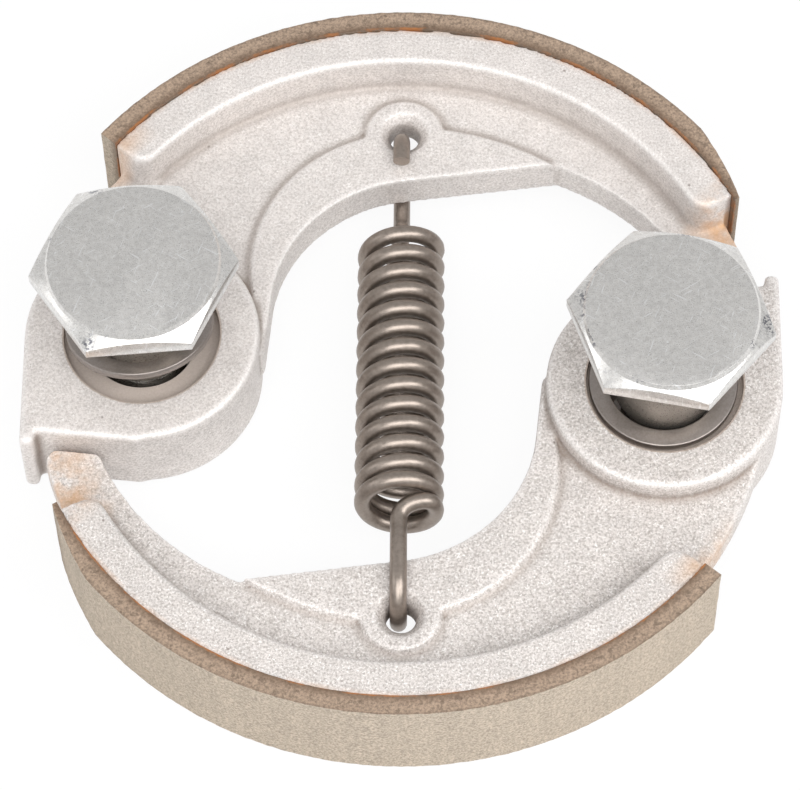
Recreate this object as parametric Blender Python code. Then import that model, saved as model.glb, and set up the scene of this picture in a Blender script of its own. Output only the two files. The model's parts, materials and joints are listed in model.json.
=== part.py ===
"""Two-shoe centrifugal clutch, in metres, +Z up.

The clutch axis is Z through the origin, and the linings stand on Z = 0.
The rear shoe turns about the left bolt and the front shoe about the right one.
Everything of a shoe is drawn for the rear shoe; the front one is the same mesh, turned by half a turn.
"""

import math

import bmesh
import bpy
from mathutils import Matrix, Vector

# Layout of the clutch
LINING_RADIUS = 0.0380
LINING_WIDTH = 0.0120
SEAT_GAP = 0.0003

# Friction lining
LINING_THICKNESS = 0.0024
LINING_START = math.radians(33)
LINING_END = math.radians(147)
LEAD_IN_ANGLE = math.radians(7)
LEAD_IN_TIP = 0.0008

# Rim that carries the lining
RIM_WIDTH = 0.0029
RIM_STEP = 0.0003
RIM_END_SETBACK = math.radians(1.0)
RIM_CORNER = 0.0016
RIM_EDGE = 0.0003
CASTING_DRAFT = math.radians(5)
WALL_BITE = 0.00005

# Web, spring pad and free arm
WEB_TOP = 0.0078
WEB_UNDERSIDE = 0.0041
PAD_HEIGHT = 0.0006
PAD_FOOT_ROUND = 0.0005
PAD_INSET = 0.0087
PAD_ARC_X = -0.0006
PAD_ARC_Y = 0.0110
PAD_ARC_STEP = 0.0004
PAD_ARC_END = math.radians(200)
WEB_WIDTH = 0.0144
INNER_ARC_Y = 0.0063
INNER_ARC_STEP = 0.0004
INNER_EDGE_SLOPE = math.radians(13.3)
ARM_THICKNESS = 0.0043
ARM_ARC_X = 0.0054
ARM_ARC_Y = -0.0005
ARM_CORNER = 0.0012
ARM_STOP_GAP = 0.0005

# Eye boss
BOSS_RADIUS = 0.0113
BOSS_OVERHANG = 0.0011
BOSS_TOP = 0.0101
BOSS_UNDERSIDE = 0.0009
BOSS_SIDE_ANGLE = math.radians(6)
BOSS_CHAMFER = 0.0003
BOSS_JOIN_ANGLE = math.radians(172)
NOTCH_DROP = 0.0002
NOTCH_CREASE_ANGLE = math.radians(-80)
NOTCH_ROOF_END_ANGLE = math.radians(-85)
LOBE_LENGTH = 0.0013
LOBE_GAP = 0.0006
LOBE_CORNER = 0.0003

# Hook hole
HOOK_HOLE_ANGLE = math.radians(95.8)
HOOK_HOLE_INSET = 0.0091
HOOK_HOLE_RADIUS = 0.00145
HOOK_BOSS_RADIUS = 0.0034
HOOK_BOSS_END = math.radians(195)
DISH_RADIUS = 0.0024
DISH_DEPTH = 0.0011

# Shoulder bolt
HEAD_ACROSS_FLATS = 0.0170
HEAD_HEIGHT = 0.0025
HEAD_TOP = 0.0240
HEAD_FACE_RADIUS = 0.0080
HEAD_CHAMFER_ANGLE = math.radians(30)
SHOULDER_RADIUS = 0.0049
SHOULDER_END = 0.0094
THREAD_RADIUS = 0.0040
THREAD_CHAMFER = 0.0008
LEFT_HEAD_TURN = math.radians(11)
RIGHT_HEAD_TURN = math.radians(-4.5)

# Washer and the counterbore it lies in
WASHER_RADIUS = 0.0070
WASHER_THICKNESS = 0.0010
WASHER_CLEARANCE = 0.0005
WASHER_BORE_CLEARANCE = 0.0006
WASHER_DRIFT = 0.0003
LIFTED_WASHER_TILT = math.radians(12)
LIFTED_WASHER_HEADING = math.radians(-70)

# Return spring
WIRE_RADIUS = 0.00082
COIL_RADIUS = 0.00345
COIL_PITCH = 0.00218
COIL_START_ANGLE = math.radians(-90)
COIL_END_ANGLE = math.radians(40)
HOOK_REACH = 0.01055
COIL_REAR_HEIGHT = 0.0047
COIL_FRONT_HEIGHT = 0.0074
COIL_SHIFT = 0.0005
SPRING_DRIFT = 0.00025
LEG_START = 0.0017
LEG_RISE = 0.8
HOOK_BEND = 0.0016
HOOK_TAIL_BEND = 0.0011
HOOK_TAIL = 0.0011

# Fineness of the curved faces
ARC_STEP = math.radians(3)
ROUND_SIDES = 40
RIM_POINTS = 36
PAD_POINTS = 10
BOSS_POINTS = 44
FOOT_STEPS = 3
WELD_DISTANCE = 0.000005
FLAT_ANGLE = math.radians(0.3)
COIL_POINTS = 18
HOOK_POINTS = 7

BOND_RADIUS = LINING_RADIUS - LINING_THICKNESS - SEAT_GAP
PIVOT = Vector((BOSS_RADIUS - BOSS_OVERHANG - BOND_RADIUS, 0))
RIM_TOP = LINING_WIDTH - RIM_STEP
PAD_TOP = WEB_TOP + PAD_HEIGHT
ARM_ARC_CENTRE = Vector((ARM_ARC_X, ARM_ARC_Y))
ARM_ARC_RADIUS = BOND_RADIUS - ARM_THICKNESS - ARM_ARC_X
INNER_ARC_RADIUS = BOND_RADIUS - WEB_WIDTH - INNER_ARC_Y
INNER_ARC_CENTRE = Vector((PIVOT.x + BOSS_RADIUS + INNER_ARC_STEP + INNER_ARC_RADIUS, INNER_ARC_Y))
PAD_ARC_CENTRE = Vector((PAD_ARC_X, PAD_ARC_Y))
PAD_ARC_RADIUS = INNER_ARC_RADIUS + PAD_ARC_STEP
PAD_LINE_RADIUS = BOND_RADIUS - PAD_INSET
EYE_RADIUS = SHOULDER_RADIUS + SEAT_GAP
COUNTERBORE_RADIUS = WASHER_RADIUS + WASHER_CLEARANCE
COUNTERBORE_FLOOR = BOSS_TOP - WASHER_THICKNESS - SEAT_GAP
NOTCH_ROOF = BOSS_RADIUS + NOTCH_DROP
ARM_END = NOTCH_ROOF + ARM_STOP_GAP
HOOK_HOLE_DISTANCE = BOND_RADIUS - HOOK_HOLE_INSET
HOOK_HOLE = HOOK_HOLE_DISTANCE * Vector((math.cos(HOOK_HOLE_ANGLE), math.sin(HOOK_HOLE_ANGLE)))
LOW_LEG = WEB_UNDERSIDE - WIRE_RADIUS - SEAT_GAP
HIGH_LEG = PAD_TOP + WIRE_RADIUS + SEAT_GAP
HOOK_HEIGHT = HIGH_LEG - LOW_LEG
COIL_LENGTH = 2 * (HOOK_HOLE_DISTANCE - HOOK_REACH)
COIL_TURNS = math.floor(COIL_LENGTH / COIL_PITCH) + (COIL_END_ANGLE - COIL_START_ANGLE) / math.tau
OUTSIDE = 2 * LINING_RADIUS


def polar(radius, angle, centre=Vector((0, 0))):
    """Point at a radius and an angle about a centre in plan."""
    return centre + radius * Vector((math.cos(angle), math.sin(angle)))


def arc(centre, radius, start, end, count=None):
    """Points along an arc in plan, both ends included, as many as its own turn needs unless told."""
    count = count or max(2, math.ceil(abs(end - start) / ARC_STEP))
    return [polar(radius, start + (end - start) * i / count, centre) for i in range(count + 1)]


def rounded(before, corner, after, radius, count=4):
    """A corner between two straight runs, rounded with an arc of the given radius."""
    back = (before - corner).normalized()
    ahead = (after - corner).normalized()
    half = back.angle(ahead) / 2
    centre = corner + (back + ahead).normalized() * radius / math.sin(half)
    first = corner + back * radius / math.tan(half) - centre
    last = corner + ahead * radius / math.tan(half) - centre
    turn = math.atan2(first.cross(last), first.dot(last))
    heading = math.atan2(first.y, first.x)
    return [polar(radius, heading + turn * i / count, centre) for i in range(count + 1)]


def angle_on_arc(centre, radius, y):
    """Angle of the right-hand point of a circle that lies at height y in plan."""
    return math.asin((y - centre.y) / radius)


def link(name, mesh, material, location=(0, 0, 0), turn=0.0):
    """Put a mesh into the scene as a named object, smooth with its edges kept sharp."""
    mesh.name = name
    mesh.materials.clear()
    mesh.materials.append(material)
    mesh.shade_smooth()
    mesh.set_sharp_from_angle(angle=math.radians(20))
    item = bpy.data.objects.new(name, mesh)
    item.location = location
    item.rotation_euler = (0, 0, turn)
    bpy.context.scene.collection.objects.link(item)
    return item


def tool(mesh):
    """A working object for one Boolean step."""
    item = bpy.data.objects.new("tool", mesh)
    bpy.context.scene.collection.objects.link(item)
    return item


def combine(body, mesh, operation):
    """Join a mesh to a body or cut it out of the body, and drop the working object."""
    other = tool(mesh)
    modifier = body.modifiers.new(operation.lower(), "BOOLEAN")
    modifier.operation = operation
    modifier.solver = "EXACT"
    modifier.object = other
    bpy.context.view_layer.objects.active = body
    bpy.ops.object.modifier_apply(modifier=modifier.name)
    bpy.data.objects.remove(other)


def finished_mesh(body):
    """The mesh of a working object, cleaned of doubled points and slivers, with the object dropped."""
    mesh = body.data
    bpy.data.objects.remove(body)
    work = bmesh.new()
    work.from_mesh(mesh)
    bmesh.ops.triangulate(work, faces=work.faces)
    bmesh.ops.remove_doubles(work, verts=work.verts, dist=WELD_DISTANCE)
    bmesh.ops.dissolve_degenerate(work, edges=work.edges, dist=WELD_DISTANCE)
    bmesh.ops.dissolve_limit(work, angle_limit=FLAT_ANGLE, verts=work.verts, edges=work.edges)
    bmesh.ops.triangulate(work, faces=work.faces)
    work.to_mesh(mesh)
    work.free()
    return mesh


def stack(sections):
    """Closed mesh through outlines at rising heights; each outline has the same number of points."""
    work = bmesh.new()
    loops = [[work.verts.new((p.x, p.y, z)) for p in outline] for outline, z in sections]
    for low, high in zip(loops, loops[1:]):
        for i in range(len(low)):
            j = (i + 1) % len(low)
            work.faces.new((low[i], low[j], high[j], high[i]))
    work.faces.new(reversed(loops[0]))
    work.faces.new(loops[-1])
    return to_mesh(work)


def turned(profile, sides=ROUND_SIDES):
    """Closed solid of revolution about Z through a profile of (radius, height) points.

    A profile that starts and ends on the axis gives a solid piece, any other one a ring.
    """
    work = bmesh.new()
    rings = []
    for radius, height in profile:
        if radius == 0:
            rings.append([work.verts.new((0, 0, height))])
            continue
        points = [polar(radius, math.tau * i / sides) for i in range(sides)]
        rings.append([work.verts.new((p.x, p.y, height)) for p in points])
    pairs = list(zip(rings, rings[1:]))
    if profile[0][0] > 0:
        pairs.append((rings[-1], rings[0]))
    for one, two in pairs:
        for i in range(sides):
            j = (i + 1) % sides
            corners = [one[i % len(one)], one[j % len(one)], two[j % len(two)], two[i % len(two)]]
            work.faces.new(list(dict.fromkeys(corners)))
    return to_mesh(work)


def to_mesh(work):
    """Turn a bmesh into a mesh with its faces pointing out."""
    bmesh.ops.recalc_face_normals(work, faces=work.faces)
    mesh = bpy.data.meshes.new("shape")
    work.to_mesh(mesh)
    work.free()
    return mesh


def inner_corner():
    """Where the straight inner edge under the spring pad meets the free arm's inner arc."""
    along = Vector((math.cos(INNER_EDGE_SLOPE), math.sin(INNER_EDGE_SLOPE)))
    start = polar(INNER_ARC_RADIUS, math.pi / 2 + INNER_EDGE_SLOPE, INNER_ARC_CENTRE)
    offset = start - ARM_ARC_CENTRE
    reach = offset.dot(along)
    return start + along * (math.sqrt(reach ** 2 - offset.length_squared + ARM_ARC_RADIUS ** 2) - reach)


def shoe_outline():
    """Outline of the casting without its boss: lining seat, free arm and inner edge."""
    outer_end = angle_on_arc(Vector((0, 0)), BOND_RADIUS, ARM_END)
    inner_end = angle_on_arc(ARM_ARC_CENTRE, ARM_ARC_RADIUS, ARM_END)
    outer_tip = polar(BOND_RADIUS, outer_end)
    inner_tip = polar(ARM_ARC_RADIUS, inner_end, ARM_ARC_CENTRE)
    trim = 2 * ARM_CORNER / BOND_RADIUS
    outer = arc(Vector((0, 0)), BOND_RADIUS, outer_end + trim, BOSS_JOIN_ANGLE)
    corner = inner_corner()
    corner_angle = math.atan2(*(corner - ARM_ARC_CENTRE).yx)
    arm = arc(ARM_ARC_CENTRE, ARM_ARC_RADIUS, corner_angle, inner_end + trim)
    inner = arc(INNER_ARC_CENTRE, INNER_ARC_RADIUS, math.pi, math.pi / 2 + INNER_EDGE_SLOPE)
    heel = Vector((inner[0].x, 0))
    tip = rounded(arm[-1], inner_tip, outer_tip, ARM_CORNER)
    tip += rounded(inner_tip, outer_tip, outer[0], ARM_CORNER)
    return outer + [PIVOT, heel] + inner + arm + tip


def rim_gate(inset):
    """Line round the rim's inner side and both its ends, from the free end to the pivot end."""
    radius = BOND_RADIUS - RIM_WIDTH - inset
    start = LINING_START + RIM_END_SETBACK - inset / radius
    end = LINING_END + inset / radius
    trim = RIM_CORNER / radius
    middle = arc(Vector((0, 0)), radius, start + trim, end - trim, RIM_POINTS)
    first = rounded(polar(OUTSIDE, start), polar(radius, start), middle[0], RIM_CORNER)
    last = rounded(middle[-1], polar(radius, end), polar(OUTSIDE, end), RIM_CORNER)
    return [polar(OUTSIDE, start)] + first[:-1] + middle + last[1:] + [polar(OUTSIDE, end)]


def pocket_outline(inset):
    """Everything in plan apart from the rim band."""
    gate = rim_gate(inset)
    around = [Vector((-OUTSIDE, OUTSIDE)), Vector((-OUTSIDE, -OUTSIDE)), Vector((OUTSIDE, -OUTSIDE))]
    return gate + around + [Vector((OUTSIDE, 0))]


def pad_line(inset):
    """Edge of the raised spring pad, from the arm's corner round the hook boss to the eye boss."""
    boss_radius = HOOK_BOSS_RADIUS - inset
    line_radius = PAD_LINE_RADIUS - inset
    corner = inner_corner()
    start = math.atan2(corner.y, corner.x)
    end = math.acos((HOOK_HOLE.x + boss_radius) / line_radius)
    outer = arc(Vector((0, 0)), line_radius, start, end, PAD_POINTS)
    boss = arc(HOOK_HOLE, boss_radius, 0, HOOK_BOSS_END, 2 * PAD_POINTS)
    arc_radius = PAD_ARC_RADIUS - inset
    foot = boss[-1] - PAD_ARC_CENTRE
    side = arc(PAD_ARC_CENTRE, arc_radius, math.atan2(foot.y, foot.x), PAD_ARC_END, 2 * PAD_POINTS)
    return outer + boss + side


def web_pocket_outline(inset):
    """The lower part of the pocket: between the rim band and the spring pad, and over the free arm."""
    pad = pad_line(-inset)
    left = [PIVOT, Vector((-OUTSIDE, 0)), Vector((-OUTSIDE, OUTSIDE))]
    right = [Vector((OUTSIDE, 0)), Vector((pad[0].x, 0))]
    return pad + left + list(reversed(rim_gate(inset))) + right


def boss_outline(inset):
    """Eye boss with its straight outer side, the notch for the other shoe's arm and the lobe beside it."""
    radius = BOSS_RADIUS - inset
    side = polar(radius, math.pi + BOSS_SIDE_ANGLE, PIVOT)
    down = Vector((math.sin(BOSS_SIDE_ANGLE), -math.cos(BOSS_SIDE_ANGLE)))
    lobe_end = NOTCH_ROOF + LOBE_LENGTH - inset
    roof = NOTCH_ROOF - inset
    arm_side = polar(BOND_RADIUS, math.pi + angle_on_arc(Vector((0, 0)), BOND_RADIUS, ARM_END)).x
    inner_x = arm_side - LOBE_GAP - inset
    outer_corner = side + down * (lobe_end + side.y) / down.y * -1
    inner_corner_low = Vector((inner_x, -lobe_end))
    inner_corner_high = Vector((inner_x, -roof))
    roof_end = Vector((polar(radius, NOTCH_ROOF_END_ANGLE, PIVOT).x, -roof))
    lobe = rounded(side, outer_corner, inner_corner_low, LOBE_CORNER)
    lobe += rounded(outer_corner, inner_corner_low, inner_corner_high, LOBE_CORNER)
    round_side = arc(PIVOT, radius, NOTCH_CREASE_ANGLE, math.pi + BOSS_SIDE_ANGLE, BOSS_POINTS)
    return round_side + lobe + [inner_corner_high, roof_end]


def eye_bore():
    """Cutter for the bolt's eye and the counterbore that the washer lies in."""
    low, high = -LINING_WIDTH, 2 * LINING_WIDTH
    mesh = turned([
        (0, low), (EYE_RADIUS, low), (EYE_RADIUS, COUNTERBORE_FLOOR),
        (COUNTERBORE_RADIUS, COUNTERBORE_FLOOR), (COUNTERBORE_RADIUS, high), (0, high),
    ])
    mesh.transform(Matrix.Translation((PIVOT.x, PIVOT.y, 0)))
    return mesh


def hook_bore():
    """Cutter for the spring's hook hole, dished on both faces because one casting serves both shoes."""
    low, high = WEB_UNDERSIDE - DISH_DEPTH, PAD_TOP + DISH_DEPTH
    flare = DISH_RADIUS + (DISH_RADIUS - HOOK_HOLE_RADIUS)
    mesh = turned([
        (0, low), (flare, low), (HOOK_HOLE_RADIUS, WEB_UNDERSIDE + DISH_DEPTH),
        (HOOK_HOLE_RADIUS, PAD_TOP - DISH_DEPTH), (flare, high), (0, high),
    ])
    mesh.transform(Matrix.Translation((HOOK_HOLE.x, HOOK_HOLE.y, 0)))
    return mesh


def wall_inset(height):
    """How far the rim's sloping inner wall stands in from its top edge at a height."""
    return (RIM_TOP - height) * math.tan(CASTING_DRAFT)


def web_pocket():
    """Cutter down to the web, with rounded feet to the rim and to the spring pad.

    Its top bites a little into the rim's wall, so that no two faces lie in one plane.
    """
    sections = []
    for i in range(FOOT_STEPS + 1):
        turn = math.pi / 2 * i / FOOT_STEPS
        height = WEB_TOP + PAD_FOOT_ROUND * (1 - math.cos(turn))
        inset = wall_inset(height) + PAD_FOOT_ROUND * (1 - math.sin(turn))
        sections.append((web_pocket_outline(inset), height))
    top = PAD_TOP + PAD_HEIGHT
    sections.append((web_pocket_outline(wall_inset(top) - WALL_BITE), top))
    return stack(sections)


def shoe_mesh():
    """The casting, drawn in place for the rear shoe and then moved so that its origin is the eye."""
    body = tool(stack([(shoe_outline(), RIM_STEP), (shoe_outline(), RIM_TOP)]))
    slope = math.tan(CASTING_DRAFT)
    top_pocket = stack([
        (pocket_outline(wall_inset(PAD_TOP)), PAD_TOP),
        (pocket_outline(wall_inset(RIM_TOP - RIM_EDGE)), RIM_TOP - RIM_EDGE),
        (pocket_outline(-RIM_EDGE), RIM_TOP),
        (pocket_outline(-2 * RIM_EDGE), RIM_TOP + RIM_EDGE),
    ])
    low_pocket = stack([
        (pocket_outline(-WEB_UNDERSIDE * slope), -WEB_UNDERSIDE),
        (pocket_outline(WEB_UNDERSIDE * slope), WEB_UNDERSIDE),
    ])
    for cutter in (top_pocket, low_pocket, web_pocket(), hook_bore()):
        combine(body, cutter, "DIFFERENCE")
    boss = stack([
        (boss_outline(BOSS_CHAMFER), BOSS_UNDERSIDE),
        (boss_outline(0), BOSS_UNDERSIDE + BOSS_CHAMFER),
        (boss_outline(0), BOSS_TOP - BOSS_CHAMFER),
        (boss_outline(BOSS_CHAMFER), BOSS_TOP),
    ])
    combine(body, boss, "UNION")
    combine(body, eye_bore(), "DIFFERENCE")
    mesh = finished_mesh(body)
    mesh.transform(Matrix.Translation((-PIVOT.x, 0, 0)))
    return mesh


def lining_mesh():
    """Lining of even thickness with a ground lead-in at the free end; its origin is the shoe's eye."""
    inner_radius = BOND_RADIUS + SEAT_GAP
    lead_end = LINING_START + LEAD_IN_ANGLE
    outer = arc(Vector((0, 0)), LINING_RADIUS, lead_end, LINING_END)
    inner = arc(Vector((0, 0)), inner_radius, LINING_END, LINING_START)
    outline = outer + inner + [polar(inner_radius + LEAD_IN_TIP, LINING_START)]
    mesh = stack([(outline, 0), (outline, LINING_WIDTH)])
    mesh.transform(Matrix.Translation((-PIVOT.x, 0, 0)))
    return mesh


def bolt_mesh():
    """Shoulder bolt standing on its threaded end, with a hex head chamfered on top."""
    corner_radius = HEAD_ACROSS_FLATS / math.sqrt(3)
    underside = HEAD_TOP - HEAD_HEIGHT
    hexagon = [polar(corner_radius, math.tau * i / 6) for i in range(6)]
    body = tool(stack([(hexagon, underside), (hexagon, HEAD_TOP)]))
    reach = corner_radius + HEAD_HEIGHT
    drop = (reach - HEAD_FACE_RADIUS) * math.tan(HEAD_CHAMFER_ANGLE)
    envelope = turned([
        (0, underside - HEAD_HEIGHT), (reach, underside - HEAD_HEIGHT),
        (reach, HEAD_TOP - drop), (HEAD_FACE_RADIUS, HEAD_TOP), (0, HEAD_TOP),
    ])
    combine(body, envelope, "INTERSECT")
    shank = turned([
        (0, 0), (THREAD_RADIUS - THREAD_CHAMFER, 0), (THREAD_RADIUS, THREAD_CHAMFER),
        (THREAD_RADIUS, SHOULDER_END), (SHOULDER_RADIUS, SHOULDER_END),
        (SHOULDER_RADIUS, HEAD_TOP - HEAD_HEIGHT / 2), (0, HEAD_TOP - HEAD_HEIGHT / 2),
    ])
    combine(body, shank, "UNION")
    return finished_mesh(body)


def washer_mesh():
    """Flat washer about its own centre, standing on its lower face."""
    bore = SHOULDER_RADIUS + WASHER_BORE_CLEARANCE
    top = WASHER_THICKNESS
    return turned([(bore, 0), (WASHER_RADIUS, 0), (WASHER_RADIUS, top), (bore, top)])


def smooth_run(start, start_pull, end, end_pull, count=HOOK_POINTS):
    """Points of a cubic curve between two points, with a pull at each end; the start is left out."""
    points = []
    for i in range(1, count + 1):
        t = i / count
        blend = (1 - t) ** 3 * start + 3 * (1 - t) ** 2 * t * (start + start_pull)
        points.append(blend + 3 * (1 - t) * t ** 2 * (end - end_pull) + t ** 3 * end)
    return points


def bend(centre, ahead, up, radius, start, turn, count=HOOK_POINTS):
    """Points of a bend in the plane of two directions, from one angle through a turn."""
    points = []
    for i in range(1, count + 1):
        angle = start + turn * i / count
        points.append(centre + radius * (math.cos(angle) * ahead + math.sin(angle) * up))
    return points


def edge_reach():
    """Distance from the clutch axis to the casting's inner edge, measured towards the hook hole."""
    along = Vector((math.cos(INNER_EDGE_SLOPE), math.sin(INNER_EDGE_SLOPE)))
    start = polar(INNER_ARC_RADIUS, math.pi / 2 + INNER_EDGE_SLOPE, INNER_ARC_CENTRE)
    return start.cross(along) / HOOK_HOLE.normalized().cross(along)


def hook_points(coil_end, coil_tangent, axis_point, ahead, up, leg_height):
    """Wire from the last turn: in over the coil's axis, along a leg and round through the hook hole.

    The leg lies on one side of the web, and along `up` the tail comes out and lies on the other side.
    """
    level = Vector((-SPRING_DRIFT, 0, leg_height))
    edge = level + ahead * (edge_reach() - WIRE_RADIUS)
    seat = level + ahead * (HOOK_HOLE_DISTANCE - HOOK_HOLE_RADIUS + WIRE_RADIUS + SEAT_GAP)
    bend_centre = seat - ahead * HOOK_BEND + up * HOOK_BEND
    leg_start = axis_point + ahead * LEG_START
    leg_start.z += (leg_height - leg_start.z) * LEG_RISE
    pull = ahead * LEG_START
    points = smooth_run(coil_end, coil_tangent * COIL_RADIUS / 2, leg_start, pull)
    points += smooth_run(leg_start, pull, edge, pull)
    points += [bend_centre - up * HOOK_BEND]
    points += bend(bend_centre, ahead, up, HOOK_BEND, -math.pi / 2, math.pi / 2)
    straight = HOOK_HEIGHT - HOOK_BEND - HOOK_TAIL_BEND
    tail_centre = points[-1] + up * straight - ahead * HOOK_TAIL_BEND
    points += [points[-1] + up * straight]
    points += bend(tail_centre, ahead, up, HOOK_TAIL_BEND, 0, math.pi / 2)
    points += [points[-1] - ahead * HOOK_TAIL]
    return points


def spring_points():
    """Centre line of the wire, from the rear shoe's hook hole to the front shoe's."""
    ahead = -Vector((HOOK_HOLE.x, HOOK_HOLE.y, 0)).normalized()
    rise = (COIL_FRONT_HEIGHT - COIL_REAR_HEIGHT) / COIL_LENGTH
    axis = (ahead + rise * Vector((0, 0, 1))).normalized()
    middle = Vector((-SPRING_DRIFT, 0, (COIL_REAR_HEIGHT + COIL_FRONT_HEIGHT) / 2)) + ahead * COIL_SHIFT
    side = Vector((0, 0, 1)).cross(axis).normalized()
    top = axis.cross(side)
    coil = []
    total = round(COIL_TURNS * COIL_POINTS)
    for i in range(total + 1):
        angle = COIL_START_ANGLE + math.tau * COIL_TURNS * i / total
        along = (i / total - 0.5) * COIL_LENGTH
        coil.append(middle + axis * along + COIL_RADIUS * (math.cos(angle) * side + math.sin(angle) * top))
    pitch_step = (coil[1] - coil[0]).normalized()
    last_step = (coil[-1] - coil[-2]).normalized()
    up = Vector((0, 0, 1))
    rear_axis = middle - axis * COIL_LENGTH / 2
    front_axis = middle + axis * COIL_LENGTH / 2
    rear = hook_points(coil[0], -pitch_step, rear_axis, -ahead, up, LOW_LEG)
    front = hook_points(coil[-1], last_step, front_axis, ahead, -up, HIGH_LEG)
    return list(reversed(rear)) + coil + front


def make_spring(material):
    """The spring as a bevelled curve along its wire's centre line."""
    curve = bpy.data.curves.new("return_spring", "CURVE")
    curve.dimensions = "3D"
    curve.bevel_depth = WIRE_RADIUS
    curve.bevel_resolution = 2
    curve.use_fill_caps = True
    points = spring_points()
    spline = curve.splines.new("POLY")
    spline.points.add(len(points) - 1)
    for knot, point in zip(spline.points, points):
        knot.co = (*point, 1)
    curve.materials.append(material)
    item = bpy.data.objects.new("return_spring", curve)
    bpy.context.scene.collection.objects.link(item)
    return item


def make_material(name, colour, roughness, metallic):
    """A plain Principled material."""
    material = bpy.data.materials.new(name)
    material.use_nodes = True
    shader = material.node_tree.nodes["Principled BSDF"]
    shader.inputs["Base Color"].default_value = (*colour, 1)
    shader.inputs["Roughness"].default_value = roughness
    shader.inputs["Metallic"].default_value = metallic
    return material


def make_shoes(material):
    """Both shoes share one casting mesh, each on its own bolt's axis."""
    casting = shoe_mesh()
    link("shoe_rear", casting, material, (PIVOT.x, 0, 0))
    link("shoe_front", casting, material, (-PIVOT.x, 0, 0), math.pi)


def make_linings(material):
    """One lining bonded to each shoe's rim."""
    lining = lining_mesh()
    link("lining_rear", lining, material, (PIVOT.x, 0, 0))
    link("lining_front", lining, material, (-PIVOT.x, 0, 0), math.pi)


def make_bolts(material):
    """One shoulder bolt through each eye, the heads turned as they happen to lie."""
    bolt = bolt_mesh()
    link("pivot_bolt_left", bolt, material, (PIVOT.x, 0, 0), LEFT_HEAD_TURN)
    link("pivot_bolt_right", bolt, material, (-PIVOT.x, 0, 0), RIGHT_HEAD_TURN)


def make_washers(material):
    """The right washer lies in its counterbore; the left one has ridden up on one side."""
    washer = washer_mesh()
    seat = COUNTERBORE_FLOOR + SEAT_GAP
    link("washer_right", washer, material, (-PIVOT.x - WASHER_DRIFT, 0, seat))
    heading = polar(1, LIFTED_WASHER_HEADING)
    lift = WASHER_RADIUS * math.sin(LIFTED_WASHER_TILT)
    lifted = link("washer_left", washer, material, (PIVOT.x - WASHER_DRIFT, 0, seat + lift))
    hinge_line = Vector((heading.y, -heading.x, 0))
    lifted.rotation_mode = "QUATERNION"
    lifted.rotation_quaternion = Matrix.Rotation(LIFTED_WASHER_TILT, 3, hinge_line).to_quaternion()


def main():
    """Clear the scene and build every piece."""
    for item in list(bpy.data.objects):
        bpy.data.objects.remove(item)
    make_shoes(make_material("cast_aluminium", (0.62, 0.60, 0.58), 0.6, 0.7))
    make_linings(make_material("friction_lining", (0.20, 0.17, 0.14), 0.9, 0.0))
    make_spring(make_material("spring_steel", (0.11, 0.10, 0.10), 0.45, 0.6))
    make_bolts(make_material("zinc_plated_steel", (0.62, 0.62, 0.60), 0.3, 1.0))
    make_washers(make_material("dark_steel", (0.09, 0.09, 0.09), 0.35, 0.8))


main()
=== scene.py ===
"""Dresses a packed two-shoe centrifugal clutch: castings, linings, bolts, washers and return spring.

All lengths are in metres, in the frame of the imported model: the clutch axis is Z through the origin,
and everything of a shoe is drawn for the rear one and turned by half a turn for the front one.
"""

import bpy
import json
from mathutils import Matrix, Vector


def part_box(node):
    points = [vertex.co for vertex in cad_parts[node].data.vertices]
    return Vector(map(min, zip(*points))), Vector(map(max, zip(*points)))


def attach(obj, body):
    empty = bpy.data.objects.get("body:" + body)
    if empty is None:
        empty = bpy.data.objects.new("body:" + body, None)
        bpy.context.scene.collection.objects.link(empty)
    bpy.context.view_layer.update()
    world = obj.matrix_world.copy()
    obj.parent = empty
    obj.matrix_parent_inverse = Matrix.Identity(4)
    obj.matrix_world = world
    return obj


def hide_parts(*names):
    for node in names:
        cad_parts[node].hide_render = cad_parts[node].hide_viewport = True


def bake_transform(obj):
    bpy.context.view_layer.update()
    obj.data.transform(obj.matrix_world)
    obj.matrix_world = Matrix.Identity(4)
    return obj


bl_info = {
    "name": "Centrifugal clutch",
    "version": (1, 0, 0),
    "blender": (4, 5, 0),
    "location": "View3D > Sidebar > Clutch",
    "description": "Models the shoes, linings, bolts, washers and spring of a two-shoe centrifugal clutch",
    "category": "Add Mesh",
}

import json
import math

import bpy
from mathutils import Matrix, Vector, noise

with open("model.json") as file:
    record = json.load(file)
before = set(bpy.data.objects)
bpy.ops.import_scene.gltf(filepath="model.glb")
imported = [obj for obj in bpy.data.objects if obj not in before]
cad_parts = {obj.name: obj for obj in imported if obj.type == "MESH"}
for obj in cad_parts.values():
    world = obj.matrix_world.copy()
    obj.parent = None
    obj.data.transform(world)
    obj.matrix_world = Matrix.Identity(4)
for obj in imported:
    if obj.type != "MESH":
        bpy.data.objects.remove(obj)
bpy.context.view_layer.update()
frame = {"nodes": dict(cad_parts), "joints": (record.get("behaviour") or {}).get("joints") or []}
PIVOT = {joint["child"]: Vector(joint["pos_m"]) for joint in frame["joints"]}
LINING_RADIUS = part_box("lining_rear")[1].y
LINING_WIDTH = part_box("lining_rear")[1].z
HEAD_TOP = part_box("pivot_bolt_left")[1].z
TURN = {"rear_shoe": 0.0, "front_shoe": math.pi}
ORIGIN = Vector((0, 0, 0))
MERGE_DISTANCE = 0.000002
LINING_STEPS = 280


# Sizes and colours that a user would change

def length(name, description, default):
    """A length in metres."""
    return bpy.props.FloatProperty(
        name=name, description=description, default=default, subtype="DISTANCE", unit="LENGTH")


def tone(name, description, default):
    """A colour as an sRGB hex value."""
    return bpy.props.StringProperty(name=name, description=description, default=default)


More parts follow.
